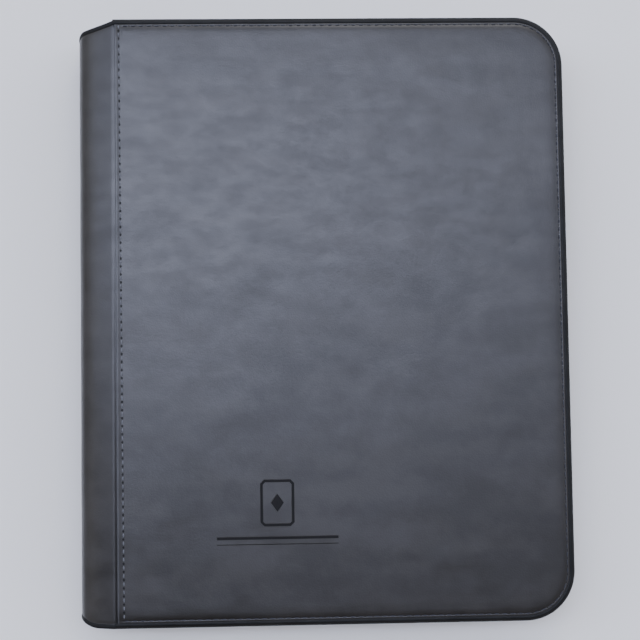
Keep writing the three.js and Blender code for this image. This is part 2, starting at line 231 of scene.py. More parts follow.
def mark_mask(nodes):
    """White on the debossed lines of the mark."""
    parts = nodes.node("ShaderNodeSeparateXYZ")
    nodes.link(nodes.place, parts.inputs[0])
    across = nodes.math("ABSOLUTE", nodes.math("SUBTRACT", parts.outputs[0], MARK["x"] * MM))
    along = nodes.math("SUBTRACT", parts.outputs[1], MARK["y"] * MM)
    up = nodes.math("ABSOLUTE", along)
    half_w = MARK["width"] / 2 * MM
    half_h = MARK["height"] / 2 * MM
    outside_x = nodes.math("SUBTRACT", across, half_w)
    outside_y = nodes.math("SUBTRACT", up, half_h)
    corner = nodes.math("MULTIPLY", nodes.math("ADD", outside_x, outside_y), 0.7071)
    corner = nodes.math("ADD", corner, MARK_CORNER_CUT * MM)
    edge = nodes.math("MAXIMUM", nodes.math("MAXIMUM", outside_x, outside_y), corner)
    ring = nodes.math("ABSOLUTE", nodes.math("ADD", edge, MARK_LINE_HALF * MM))
    ring = nodes.remap(ring, 0.60 * MM, 0.85 * MM, 1.0, 0.0)
    diamond_w, diamond_h = (half * MM for half in MARK_DIAMOND_HALF)
    diamond = nodes.math("ADD", nodes.math("DIVIDE", across, diamond_w), nodes.math("DIVIDE", up, diamond_h))
    diamond = nodes.remap(diamond, 0.92, 1.06, 1.0, 0.0)
    mask = nodes.math("MAXIMUM", ring, diamond)
    for drop, thick in MARK_RULES:
        line = nodes.math("ABSOLUTE", nodes.math("ADD", along, drop * MM))
        line = nodes.remap(line, (thick / 2 - 0.12) * MM, (thick / 2 + 0.12) * MM, 1.0, 0.0)
        end = nodes.remap(across, (MARK_RULE_REACH - 0.2) * MM, (MARK_RULE_REACH + 0.2) * MM, 1.0, 0.0)
        line = nodes.math("MULTIPLY", line, end)
        mask = nodes.math("MAXIMUM", mask, line)
    return mask


def leather(name, dark, light, marked=False, rough=0.30, specular=0.5, painted_seam_highlight=False):
    """Grained, cloudy leather. Its roughness stays above 0.275: lower roughness gave dark patches."""
    nodes = Nodes(name)
    cloud = nodes.noise(24, 4, 0.6, nodes.scaled(0.8, 1.25, 1.0))
    blotch = nodes.noise(95, 3, 0.6)
    smear = nodes.noise(60, 1, 0.5, nodes.scaled(0.35, 1.6, 1.0))
    tone = nodes.weighted((cloud, 0.40), (blotch, 0.35), (smear, 0.25))
    color = nodes.mix(nodes.remap(tone, 0.38, 0.62), dark, light)
    pores = nodes.voronoi(900)
    creases = nodes.remap(nodes.voronoi(620, "DISTANCE_TO_EDGE"), 0.0, 0.16)
    fine = nodes.noise(2200, 2, 0.5)
    grain = nodes.weighted((creases, 0.55), (pores, 0.25), (fine, 0.15))
    normal = nodes.bump(grain, 0.28, 0.00008)
    normal = nodes.bump(nodes.noise(36, 3, 0.5), 0.22, 0.0009, normal)
    polish = nodes.noise(90, 4, 0.6, nodes.scaled(0.7, 1.3, 1.0))
    roughness = nodes.remap(polish, 0.3, 0.7, rough - 0.02, rough + 0.045)
    # Painted highlight: a narrow lighter band along the panel's raised edge at the seam, standing in for the
    # light that edge catches
    if painted_seam_highlight:
        parts = nodes.node("ShaderNodeSeparateXYZ")
        nodes.link(nodes.place, parts.inputs[0])
        seam_highlight_share = nodes.remap(parts.outputs[0], (SEAM_X + 0.5) * MM, (SEAM_X + 1.1) * MM, 0.7, 0.0)
        color = nodes.mix(seam_highlight_share, color, SEAM_EDGE_HIGHLIGHT)
    if marked:
        mask = mark_mask(nodes)
        color = nodes.mix(nodes.math("MULTIPLY", mask, 0.95), color, STAMPED)
        normal = nodes.bump(nodes.math("SUBTRACT", 1.0, mask), 0.9, 0.0004, normal)
        roughness = nodes.math("MAXIMUM", roughness, nodes.math("MULTIPLY", mask, 0.95))
    return nodes.finish(color, roughness, normal, Specular_IOR_Level=specular)


def weave(name, color, light, thread, rough=0.85):
    """Woven cloth; thread sets how wide its threads look."""
    nodes = Nodes(name)
    scale = 1.0 / (thread * MM) * WEAVE_SHARE
    warp = nodes.wave(scale, "X")
    weft = nodes.wave(scale, "Y")
    upright = nodes.wave(scale, "Z")
    cloth = nodes.math("MAXIMUM", nodes.math("MULTIPLY", warp, weft), nodes.math("MULTIPLY", upright, 0.6))
    fuzz = nodes.noise(3000, 2, 0.6)
    tone = nodes.mix(nodes.math("MULTIPLY", nodes.math("ADD", cloth, fuzz), 0.5), color, light)
    normal = nodes.bump(nodes.math("ADD", cloth, nodes.math("MULTIPLY", fuzz, 0.4)), 0.5, 0.00015)
    return nodes.finish(tone, rough, normal, Sheen_Weight=0.25)


def plastic(name, color, rough, film=False):
    nodes = Nodes(name)
    if film:
        ripple = nodes.noise(45, 2, 0.5, nodes.scaled(1.0, 0.5, 1.0))
        normal = nodes.bump(ripple, 0.35, 0.0012)
        haze = nodes.remap(nodes.noise(30, 4, 0.6), 0.3, 0.7, rough, rough + 0.10)
        return nodes.finish(color, haze, normal, Coat_Weight=0.6, Coat_Roughness=0.06)
    normal = nodes.bump(nodes.noise(1800, 2, 0.5), 0.1, 0.0001)
    return nodes.finish(color, rough, normal)


def metal(name, color, rough):
    nodes = Nodes(name)
    scuff = nodes.remap(nodes.noise(900, 4, 0.7), 0.35, 0.7, rough - 0.06, rough + 0.12)
    normal = nodes.bump(nodes.noise(500, 3, 0.6), 0.08, 0.0001)
    return nodes.finish(color, scuff, normal, Metallic=1.0)


def plain(name, color, rough):
    nodes = Nodes(name)
    darker = tuple(0.85 * c for c in color)
    lighter = tuple(min(1, 1.1 * c) for c in color)
    return nodes.finish(nodes.mix(nodes.noise(700, 3, 0.6), darker, lighter), rough)


M = {
    "front_leather": leather("leather_marked", LEATHER_DARK, LEATHER_LIGHT, marked=True, painted_seam_highlight=True),
    "back_leather": leather("leather_back", LEATHER_DARK, LEATHER_LIGHT, painted_seam_highlight=True),
    "leather": leather("leather_spine", LEATHER_DARK, LEATHER_LIGHT),
    "binding": leather(
        "binding_leather", (0.003, 0.003, 0.003), (0.008, 0.008, 0.008), rough=0.5, specular=0.22,
    ),
    "pull_leather": leather("pull_leather", (0.028, 0.030, 0.034), (0.045, 0.048, 0.054)),
    "thread": plain("thread_grey", (0.115, 0.12, 0.135), 0.7),
    "dark_thread": plain("thread_dark", (0.022, 0.024, 0.034), 0.75),
    # Painted shade: the needle holes' near-black colour stands in for the shade inside the holes
    "hole": plain("needle_hole_shade", (0.004, 0.004, 0.004), 0.95),
    "lining": weave("lining_cloth", (0.006, 0.006, 0.007), (0.022, 0.023, 0.025), 0.5),
    "tape": weave("zip_tape_cloth", (0.006, 0.006, 0.007), (0.030, 0.031, 0.034), 0.6),
    "coil": plastic("coil_nylon", (0.012, 0.012, 0.013), 0.35),
    "backing": plastic("leaf_backing", (0.011, 0.011, 0.012), 0.55),
    "film": plastic("leaf_film", (0.014, 0.015, 0.017), 0.16, film=True),
    "block": plastic("block_plastic", (0.010, 0.010, 0.011), 0.5),
    "metal": metal("gunmetal", (0.20, 0.20, 0.215), 0.30),
    "foam": plain("foam_sheet", (0.62, 0.60, 0.55), 0.95),
    "board": plain("dark_board", (0.03, 0.029, 0.027), 0.9),
}


# ---- Mesh helpers, all in millimetres ----


def make(name, verts, faces, materials, face_material=None, weld=True, smooth_angle=40):
    mesh = bpy.data.meshes.new(name)
    mesh.from_pydata([tuple(c * MM for c in v) for v in verts], [], [tuple(int(i) for i in f) for f in faces])
    for material in materials:
        mesh.materials.append(M[material])
    if face_material is not None:
        mesh.polygons.foreach_set("material_index", np.array(face_material, np.int32))
    bm = bmesh.new()
    bm.from_mesh(mesh)
    if weld:
        bmesh.ops.remove_doubles(bm, verts=bm.verts, dist=1e-7)
    bmesh.ops.recalc_face_normals(bm, faces=bm.faces)
    for edge in bm.edges:
        edge.smooth = len(edge.link_faces) != 2 or edge.calc_face_angle(0) < math.radians(smooth_angle)
    for face in bm.faces:
        face.smooth = True
    bm.to_mesh(mesh)
    bm.free()
    piece = bpy.data.objects.new(name, mesh)
    bpy.context.scene.collection.objects.link(piece)
    return piece


def place(piece, body, slot, *nodes):
    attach(piece, body)
    if nodes:
        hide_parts(*nodes)
    return piece


def strip_faces(rows, columns, closed_rows=False, closed_columns=False):
    faces = []
    for i in range(rows if closed_rows else rows - 1):
        for j in range(columns if closed_columns else columns - 1):
            a = i * columns + j
            b = i * columns + (j + 1) % columns
            c = ((i + 1) % rows) * columns + (j + 1) % columns
            d = ((i + 1) % rows) * columns + j
            faces.append((a, b, c, d))
    return faces


def turned(points):
    """The back cover's twin of front cover points: the same plan, turned over in height."""
    return [(x, y, TOP_Z - z) for x, y, z in points]


def edge_stations(left_x, step=3.0, corner_steps=26):
    """Points and outward directions round the tail, free edge and head, starting and ending at left_x."""
    straight = max(2, int((EDGE_X - CORNER_R - left_x) / step))
    side = int((2 * (EDGE_Y - CORNER_R)) / step)
    xs = np.linspace(left_x, EDGE_X - CORNER_R, straight + 1)[:-1]
    ys = np.linspace(-EDGE_Y + CORNER_R, EDGE_Y - CORNER_R, side + 1)[1:-1]
    out = [((x, -EDGE_Y), (0, -1)) for x in xs]
    for way, start in ((-1, -math.pi / 2), (1, 0.0)):
        for i in range(corner_steps + 1):
            angle = start + i / corner_steps * math.pi / 2
            direction = (math.cos(angle), math.sin(angle))
            centre = (EDGE_X - CORNER_R, way * (EDGE_Y - CORNER_R))
            point = (centre[0] + CORNER_R * direction[0], centre[1] + CORNER_R * direction[1])
            out.append((point, direction))
        if way < 0:
            out += [((EDGE_X, y), (1, 0)) for y in ys]
    out += [((x, EDGE_Y), (0, 1)) for x in xs[::-1]]
    return out


def edge_sweep(name, profile, left_x, materials, body_turned=False, step=3.0, wobble=0.0):
    """A closed section of (inset, height) points carried round the three free edges."""
    stations = edge_stations(left_x, step)
    verts = []
    for (x, y), (nx, ny) in stations:
        shift = wobble * noise.noise(Vector((x * 0.03, y * 0.03, 2.0)))
        for inset, z in profile:
            verts.append((x - nx * inset, y - ny * inset, z + shift))
    count = len(profile)
    faces = strip_faces(len(stations), count, closed_columns=True)
    faces.append(tuple(range(count)))
    faces.append(tuple(range((len(stations) - 1) * count, len(stations) * count)))
    if body_turned:
        verts = turned(verts)
    return make(name, verts, faces, materials)


def walk_edge(inset, left_x, pitch, start=0.0):
    """Evenly spaced places on the edge line at an inset: (x, y, along, outward)."""
    line = [(x - nx * inset, y - ny * inset, nx, ny) for (x, y), (nx, ny) in edge_stations(left_x, 1.5, 60)]
    places, want, gone = [], start, 0.0
    for a, b in zip(line, line[1:]):
        length = math.hypot(b[0] - a[0], b[1] - a[1])
        while length > 1e-9 and want <= gone + length:
            t = (want - gone) / length
            x, y, nx, ny = (a[k] + (b[k] - a[k]) * t for k in range(4))
            size = math.hypot(nx, ny)
            nx, ny = nx / size, ny / size
            places.append((x, y, (-ny, nx), (nx, ny)))
            want += pitch
        gone += length
    return places


# ---- Cover skins: crowned, with a stitched lip and a raised seam edge ----


def free_inset(x, y):
    """Distance in from the rounded outline on its three free sides."""
    cx, cy = EDGE_X - CORNER_R, EDGE_Y - CORNER_R
    dx, dy = x - cx, abs(y) - cy
    if dx > 0 and dy > 0:
        return CORNER_R - math.hypot(dx, dy)
    return min(EDGE_X - x, EDGE_Y - abs(y))


# Heights of the skin at distances in from the free edge, and from the seam
LIP_RISE = (
    [3.2, 3.5, 3.9, 4.4, 4.9, 5.6, 7.0, 10.0, 16.0, 34.0],
    [-1.0, -0.62, -0.56, -0.66, -0.48, -0.30, -0.13, -0.04, 0.0, 0.0],
)
SEAM_RISE = (
    [0.0, 0.25, 0.8, 1.5, 2.3, 3.2, 4.2, 6.0, 9.0, 14.0],
    [-0.42, -0.10, 0.06, -0.02, -0.15, -0.19, -0.12, -0.04, 0.0, 0.0],
)


def skin_height(x, y):
    lip = np.interp(free_inset(x, y), *LIP_RISE)
    seam = np.interp(x - SEAM_X, *SEAM_RISE)
    soft = 0.16 * noise.noise(Vector((x * 0.018, y * 0.022, 0.4)))
    soft += 0.07 * noise.noise(Vector((x * 0.06, y * 0.07, 3.1)))
    inner = min(1.0, max(0.0, (free_inset(x, y) - 4.0) / 14.0))
    return TOP_Z + SKIN_CROWN + float(lip) + float(seam) + soft * inner


def arc(cx, cy, radius, start, count):
    """A quarter turn about a centre."""
    angles = np.linspace(start, start + math.pi / 2, count)
    return [(cx + radius * math.cos(a), cy + radius * math.sin(a)) for a in angles]


def skin_ring(inset, long_count, side_count, corner_count):
    """One loop of the skin at an inset, with the same number of points at every inset."""
    left = SEAM_X + (inset - SKIN_INSET)
    right, y = EDGE_X - inset, EDGE_Y - inset
    radius = CORNER_R - inset
    cx, cy = EDGE_X - CORNER_R, EDGE_Y - CORNER_R
    loop = [(px, -y) for px in np.linspace(left, cx, long_count)[:-1]]
    loop += arc(cx, -cy, radius, -math.pi / 2, corner_count)
    loop += [(right, py) for py in np.linspace(-cy, cy, side_count)[1:-1]]
    loop += arc(cx, cy, radius, 0, corner_count)
    loop += [(px, y) for px in np.linspace(cx, left, long_count)[1:]]
    loop += [(left, py) for py in np.linspace(y, -y, side_count)[1:-1]]
    return loop


def cover_skin(name, material, back=False):
    """The skin in rings close together at the stitched lip, then a grid over the flat of the panel."""
    insets = [3.2, 3.3, 3.45, 3.65, 3.9, 4.15, 4.4, 4.65, 4.95, 5.3, 5.8, 6.4, 7.2, 8.4]
    insets += [10, 12, 14.5, 17.5, 21, 24.5, CORNER_R]
    long_count, side_count = 70, 98
    rings = [skin_ring(i, long_count, side_count, 20) for i in insets]
    columns = len(rings[0])
    verts = [(x, y, SKIN_LOW[2]) for x, y in rings[0]]
    for ring in rings:
        verts += [(x, y, skin_height(x, y)) for x, y in ring]
    faces = strip_faces(len(rings) + 1, columns, closed_columns=True)
    faces.append(tuple(range(columns)))
    xs = np.linspace(SEAM_X + CORNER_R - SKIN_INSET, EDGE_X - CORNER_R, long_count)
    ys = np.linspace(-(EDGE_Y - CORNER_R), EDGE_Y - CORNER_R, side_count)
    start = len(verts)
    verts += [(x, y, skin_height(x, y)) for y in ys for x in xs]
    faces += [tuple(start + i for i in f) for f in strip_faces(side_count, long_count)]
    return make(name, turned(verts) if back else verts, faces, [material], smooth_angle=60)


# ---- Stitches ----


def capsule(centre, along, side, length, radius, sink):
    """A short rounded thread lying along a direction, a little higher at its middle."""
    verts, faces = [], []
    rings, around = 7, 6
    for i in range(rings):
        t = i / (rings - 1) * 2 - 1
        r = radius * math.sqrt(max(0.0, 1 - abs(t) ** 3.2)) + 0.02
        lift = sink * (1 - t * t)
        for j in range(around):
            angle = j / around * 2 * math.pi
            out, up = r * math.cos(angle), r * math.sin(angle) + lift
            verts.append((
                centre[0] + along[0] * t * length / 2 + side[0] * out,
                centre[1] + along[1] * t * length / 2 + side[1] * out,
                centre[2] + up,
            ))
    faces += strip_faces(rings, around, closed_columns=True)
    faces += [tuple(range(around)), tuple(range((rings - 1) * around, rings * around))]
    return verts, faces


# Painted shade: a near-black disc with a shallow cone under it, standing in for the shade inside a needle
# hole
def needle_hole_shade(centre, radius):
    verts = [(centre[0], centre[1], centre[2] + 0.05), (centre[0], centre[1], centre[2] - 0.3)]
    count = 8
    for j in range(count):
        angle = j / count * 2 * math.pi
        out, up = radius * math.cos(angle), radius * math.sin(angle)
        verts.append((centre[0] + out, centre[1] + up, centre[2] + 0.03))
    faces = []
    for j in range(count):
        a, b = 2 + j, 2 + (j + 1) % count
        faces += [(0, a, b), (1, b, a)]
    return verts, faces


def stitches(name, places, thread, back=False, length=2.7, radius=0.30, hole=0.62):
    verts, faces, kinds = [], [], []

    def gather(part, kind):
        start = len(verts)
        verts.extend(part[0])
        faces.extend(tuple(start + i for i in f) for f in part[1])
        kinds.extend([kind] * len(part[1]))

    for x, y, along, side in places:
        twist = RNG.uniform(-0.05, 0.05)
        lean = (along[0] + side[0] * twist, along[1] + side[1] * twist)
        z = skin_height(x, y)
        gather(capsule((x, y, z + 0.06), lean, side, length * RNG.uniform(0.93, 1.05), radius, 0.14), 0)
        hx = x + along[0] * STITCH_PITCH / 2
        hy = y + along[1] * STITCH_PITCH / 2
        gather(needle_hole_shade((hx, hy, skin_height(hx, hy)), hole), 1)
    return make(name, turned(verts) if back else verts, faces, [thread, "hole"], kinds, weld=False)


def edge_places():
    places = walk_edge(STITCH_INSET, SEAM_X, STITCH_PITCH, 5.0)
    return [p for p in places if p[0] > SEAM_X + 4.5]


def seam_places():
    """The seam's stitches run a little further from the panel's edge towards the tail."""
    top = EDGE_Y - 5.0
    count = int(2 * top / STITCH_PITCH)
    places = []
    for i in range(count + 1):
        y = top - i * STITCH_PITCH
        x = SEAM_X + 2.3 + 1.3 * (top - y) / (2 * top)
        places.append((x, y, (0.0, 1.0), (1.0, 0.0)))
    return places


# ---- Spine leather: two strips that bend at the folds and meet mid-spine ----


def bezier(a, b, c, d, count):
    out = []
    for t in np.linspace(0, 1, count):
        s = 1 - t
        shares = (s**3, 3 * s * s * t, 3 * s * t * t, t**3)
        out.append(tuple(sum(w * point[k] for w, point in zip(shares, (a, b, c, d))) for k in (0, 1)))
    return out


def spine_line():
    """Outer face of the leather from under the seam to the middle of the spine."""
    top = SKIN_LOW[2] - 0.35
    fold = (FOLD_X, FOLD_Z)
    middle = (SPINE_X, MIDDLE_Z)
    flap = bezier((SEAM_X, top), (SEAM_X - 7, top - 2.1), (FOLD_X + 4.6, FOLD_Z + 4.4), fold, 24)
    wall = bezier(fold, (FOLD_X - 1.5, FOLD_Z - 1.93), (SPINE_X, MIDDLE_Z + 3.4), middle, 12)
    gutter = [(SEAM_X + d, top) for d in (6.5, 3.0, 1.6, 0.6)]
    return [*gutter, *flap, *wall[1:]]


def spine_ends(x):
    """How far the spine leather's head and tail draw in at a place across it."""
    share = min(1.0, max(0.0, (SEAM_X - x) / (SEAM_X - SPINE_X)))
    rounding = 2.0 * max(0.0, (share - 0.84) / 0.16) ** 2
    head = SPINE_HEAD_INSET * share**0.7 + rounding
    tail = SPINE_TAIL_INSET * max(0.0, (share - 0.45) / 0.55) ** 2.5
    return head, tail


def spine_strip(name, back=False):
    """The leather from under the seam to mid-spine, with a trim rolled over its head and its tail."""
    line = spine_line()
    normals = []
    for i in range(len(line)):
        a, b = line[max(i - 1, 0)], line[min(i + 1, len(line) - 1)]
        dx, dz = b[0] - a[0], b[1] - a[1]
        size = math.hypot(dx, dz)
        normals.append((-dz / size, dx / size))
    ends = [0.0, 0.15, 0.5, 1.2, 2.0, 2.6, 2.75, 3.0, 3.8, 5.5, SPINE_PLAIN_END]
    puff = [-0.45, -0.05, 0.12, 0.2, 0.14, 0.02, -0.12, -0.08, 0.0, 0.0, 0.0]
    rows = [(0, e, p) for e, p in zip(ends, puff)]
    rows += [(share, SPINE_PLAIN_END, 0.0) for share in np.linspace(0, 1, 70)[1:-1]]
    rows += [(1, e, p) for e, p in zip(ends[::-1], puff[::-1])]
    verts = []
    loop = 2 * len(line)
    for share, end, rise in rows:
        ring = []
        for (x, z), (nx, nz) in zip(line, normals):
            head, tail = spine_ends(x) if x < SEAM_X else (SKIN_INSET, SKIN_INSET)
            low, high = -EDGE_Y + tail, EDGE_Y - head
            plain_y = low + SPINE_PLAIN_END + share * (high - low - 2 * SPINE_PLAIN_END)
            y = {0: low + end, 1: high - end}.get(share, plain_y)
            gutter = np.interp(y, (-EDGE_Y, EDGE_Y), GUTTER_DROPS)
            z -= gutter * math.exp(-(((x - SEAM_X) / GUTTER_WIDTH) ** 2))
            soft = 0.12 * noise.noise(Vector((x * 0.05, y * 0.03, z * 0.05 + 9)))
            lift = rise if x < SEAM_X else 0.0
            amount = lift + (soft if 0 < share < 1 and x < SEAM_X - 3 else 0.0)
            ring.append((x - nx * amount, y, z - nz * amount))
        inner = []
        for (x, z), (nx, nz), (_, y, outer_z) in zip(line, normals, ring):
            sunk = 0.6 if outer_z < z - 0.3 else 0.0
            inner.append((x + nx * SPINE_LEATHER, y, z + nz * SPINE_LEATHER - sunk))
        verts += ring + inner[::-1]
    faces = strip_faces(len(rows), loop, closed_columns=True)
    kinds = []
    for share, end, _ in rows[:-1]:
        kinds += [int(share in (0, 1) and end < SPINE_TRIM_REACH)] * loop
    faces += [tuple(range(loop)), tuple(range((len(rows) - 1) * loop, len(rows) * loop))]
    kinds += [1, 1]
    return make(name, turned(verts) if back else verts, faces, ["leather", "binding"], kinds, smooth_angle=60)


# ---- Build: covers ----


BINDING_PROFILE = [
    (3.5, TOP_Z - 0.95), (2.6, TOP_Z - 0.55), (1.7, TOP_Z - 0.62), (0.9, TOP_Z - 0.95), (0.35, TOP_Z - 1.45),
    (0.05, TOP_Z - 2.1), (0.1, TOP_Z - 2.7), (0.5, TOP_Z - 3.2), (1.3, TOP_Z - 3.5), (2.6, TOP_Z - 3.6),
    (3.0, TOP_Z - 3.3), (3.0, TOP_Z - 1.5),
]


def tape_profile():
    """Wall and flange of the tape, with its thick woven selvedge beside the teeth."""
    low, high = box_mm("front_zip_tape")
    z0, z1 = low[2], high[2]
    return [
        (5.0, z0 + 0.2), (4.85, z0 + 0.8), (5.0, z0 + 1.5),
        (5.0, z1 - 1.4), (4.7, z1 - 0.75), (4.2, z1 - 0.6),
        (3.25, z1 - 0.6), (3.25, z1), (5.0, z1), (5.45, z1 - 0.2), (5.6, z1 - 0.7), (5.6, z0 + 1.5),
        (5.75, z0 + 0.8), (5.6, z0 + 0.2), (5.3, z0),
    ]


def teeth(name, back, start_x, phase):
    """Nylon teeth on one half of the coil: they nearly reach the middle where both halves mesh."""
    low, high = box_mm("front_zip_coil")
    mesh_from = low[0] + 0.4
    root = high[2]
    centre_inset = EDGE_Y - high[1] + 1.0
    around = 6
    verts, faces = [], []
    for x, y, along, side in walk_edge(centre_inset, start_x, TOOTH_PITCH, 0.6 + phase):
        tip = MIDDLE_Z + (0.2 if x > mesh_from else 0.45)
        rings = [
            (tip, 0.10, 0.20), (tip + 0.18, 0.33, 0.55), (tip + 0.6, 0.36, 0.75), (tip + 1.1, 0.26, 0.82),
            (root - 0.5, 0.27, 0.92), (root - 0.12, 0.27, 0.92), (root, 0.15, 0.7),
        ]
        first = len(verts)
        for z, half_long, half_deep in rings:
            for j in range(around):
                angle = j / around * 2 * math.pi
                a, d = half_long * math.cos(angle), half_deep * math.sin(angle)
                verts.append((x + along[0] * a + side[0] * d, y + along[1] * a + side[1] * d, z))
        faces += [tuple(first + i for i in f) for f in strip_faces(len(rings), around, closed_columns=True)]
        last = first + (len(rings) - 1) * around
        faces += [tuple(range(first, first + around)), tuple(range(last, last + around))]
    return make(name, turned(verts) if back else verts, faces, ["coil"], weld=False)


def lining_ring(inset, left):
    """A loop at an inset from the free edges, with its fourth side standing at left."""
    start, end = SEAM_X + inset - SKIN_INSET, EDGE_X - CORNER_R
    loop = skin_ring(inset, 40, 50, 14)
    return [(x + (left - start) * max(0.0, (end - x) / (end - start)), y) for x, y in loop]


def lining_turn_in(name, back):
    """The lining's edge, turned up over the sides of the board and the foam."""
    low, high = box_mm("front_cover_lining")
    bottom, top = low[2], box_mm("front_cover_foam")[1][2]
    inset = EDGE_Y - high[1]
    hidden, shown = inset - 0.08, inset - 0.25
    section = [(hidden, bottom), (shown, bottom + 0.15), (shown, top - 0.15), (hidden, top)]
    verts = []
    for i, z in section:
        ring = lining_ring(i, low[0] + i - inset)
        verts += [(x, y, z) for x, y in ring]
    faces = strip_faces(len(section), len(ring), closed_rows=True, closed_columns=True)
    return make(name, turned(verts) if back else verts, faces, ["lining"])


def lining(name, node, back):
    """Lining cloth, laid over the board with a turned-in edge and soft unevenness."""
    low, high = box_mm(node)
    inner_z, outer_z = (high[2], low[2]) if back else (low[2], high[2])
    out = 1 if back else -1
    inset = EDGE_Y - high[1]
    insets = [inset, inset + 0.25, inset + 0.8, inset + 1.8, inset + 2.4, inset + 3.2, 12, 16, 22, 28]
    drop = [-0.25, -0.06, 0.0, 0.0, -0.12, 0.0, 0.0, 0.0, 0.0, 0.0]
    rings = [lining_ring(i, low[0] + i - inset) for i in insets]
    columns = len(rings[0])
    verts = [(x, y, outer_z) for x, y in rings[0]]
    for ring, d in zip(rings, drop):
        for x, y in ring:
            uneven = 0.05 * noise.noise(Vector((x * 0.05, y * 0.05, 5)))
            verts.append((x, y, inner_z + out * (d + uneven)))
    faces = strip_faces(len(rings) + 1, columns, closed_columns=True)
    faces.append(tuple(range(columns)))
    faces.append(tuple(range(len(rings) * columns, (len(rings) + 1) * columns)))
    return make(name, verts, faces, ["lining"])


def cover(side):
    back = side == "back"
    body = f"{side}_cover"
    skin = cover_skin(f"{side}_panel", "back_leather" if back else "front_leather", back)
    place(skin, body, "cover_leather", f"{side}_cover_skin")
    band = edge_sweep(f"{side}_binding_trim", BINDING_PROFILE, SEAM_X - 1.2, ["binding"], back, wobble=0.12)
    place(band, body, "edge_binding", f"{side}_edge_binding")
    row = stitches(f"{side}_edge_stitches", edge_places(), "dark_thread", back)
    place(row, body, "cover_leather")
    row = stitches(
        f"{side}_seam_stitches", seam_places(), "thread", back, length=2.3, radius=0.36, hole=0.72,
    )
    place(row, body, "cover_leather")
    cloth = lining(f"{side}_lining_cloth", f"{side}_cover_lining", back)
    place(cloth, body, "lining", f"{side}_cover_lining")
    turn_in = lining_turn_in(f"{side}_lining_turn_in", back)
    place(turn_in, body, "lining")
    tape_low = box_mm(f"{side}_zip_tape")[0]
    tape = edge_sweep(f"{side}_tape_cloth", tape_profile(), tape_low[0], ["tape"], back)
    place(tape, body, "zip_tape", f"{side}_zip_tape")
    coil_low = box_mm(f"{side}_zip_coil")[0]
    reach = box_mm("back_zip_coil")[0][0]
    phase = 0.0 if back else (-(coil_low[0] - reach) % TOOTH_PITCH + TOOTH_PITCH / 2) % TOOTH_PITCH
    place(teeth(f"{side}_coil_teeth", back, coil_low[0], phase), body, "zip_coil", f"{side}_zip_coil")


for side in ("front", "back"):
    cover(side)


# ---- Build: spine ----


def add_spine():
    front = spine_strip("front_spine_leather")
    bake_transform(front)
    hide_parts("front_hinge_flap", "spine_skin")
    back = spine_strip("back_spine_leather", back=True)
    low = TOP_Z - FOLD_Z
    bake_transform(back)
    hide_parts("back_hinge_flap")
    low, high = box_mm("spine_lining")
    mid_z = (low[2] + high[2]) / 2
    verts, steps = [], 60
    for i in range(steps + 1):
        y = low[1] + (high[1] - low[1]) * i / steps
        sway = 0.06 * math.sin(i * 1.3)
        near_edge = high[0] + sway * 0.3
        verts += [
            (low[0], y, low[2]), (near_edge, y, low[2] + 0.1), (high[0] + 0.12 + sway, y, mid_z),
            (near_edge, y, high[2] - 0.1), (low[0], y, high[2]),
        ]
    faces = strip_faces(steps + 1, 5, closed_columns=True)
    faces += [tuple(range(5)), tuple(range(steps * 5, steps * 5 + 5))]
    cloth = place(make("spine_lining_cloth", verts, faces, ["lining"]), "spine", "lining", "spine_lining")


def copied(node, name, material, body, slot, bevel):
    """A rounded copy of a hard CAD piece."""
    mesh = frame["nodes"][node].data.copy()
    mesh.materials.clear()
    mesh.materials.append(M[material])
    piece = bpy.data.objects.new(name, mesh)
    bpy.context.scene.collection.objects.link(piece)
    bm = bmesh.new()
    bm.from_mesh(mesh)
    bmesh.ops.remove_doubles(bm, verts=bm.verts, dist=1e-6)
    bmesh.ops.dissolve_limit(bm, angle_limit=0.01, verts=bm.verts, edges=bm.edges)
    bm.to_mesh(mesh)
    bm.free()
    rounded = piece.modifiers.new("rounded", "BEVEL")
    rounded.width = bevel * MM
    rounded.segments = 3
    rounded.limit_method = "ANGLE"
    rounded.angle_limit = math.radians(35)
    rounded.harden_normals = True
    for polygon in mesh.polygons:
        polygon.use_smooth = True
    return place(piece, body, slot, node)


def slim_post(slider):
    """Thins the slider's inner post, so that it passes between the two rows of teeth."""
    for vertex in slider.data.vertices:
        off = vertex.co.z / MM - MIDDLE_Z
        if abs(off) < POST_REACH:
            vertex.co.z = (MIDDLE_Z + math.copysign(POST_HALF, off)) * MM


add_spine()
copied("leaf_block", "leaf_block_welded", "block", "spine", "leaf_block", 0.2)
copied("zip_end_tab", "zip_end_tab_sewn", "binding", "back_cover", "edge_binding", 0.5)
copied("zip_stop", "zip_stop_crimped", "metal", "back_cover", "zip_metal", 0.4)
slim_post(copied("zip_slider", "slider_cast", "metal", "slider", "zip_metal", 0.22))
copied("pull_bail", "pull_bail_wire", "metal", "pull", "zip_metal", 0.3)
copied("pull_tab", "pull_tab_leather", "pull_leather", "pull", "pull_leather", 0.35)


# ---- Build: leaves with three by three pockets on each side ----


# How full a pocket is at the places across it, from weld to weld
POCKET_PUFFS = (0.0, 0.55, 0.85, 0.97, 1.0, 0.97, 0.85, 0.55, 0.0)


def leaf_stations(low, high, margin_low, margin_high):
    """Places across a leaf: dense at the welds, sparse over the pockets. Gives (place, puff)."""
    out = [(low, 0.0), (low + 0.6, 0.0)]
    start, end = low + margin_low, high - margin_high
    size = (end - start) / 3
    for k in range(3):
        a = start + k * size
        places = (1.6, 2.1, 4.0, size / 3, size / 2, size * 2 / 3, size - 4.0, size - 2.1, size - 1.6)
        out += [(a + place_in, puff) for place_in, puff in zip(places, POCKET_PUFFS)]
    return out + [(high - 0.6, 0.0), (high, 0.0)]


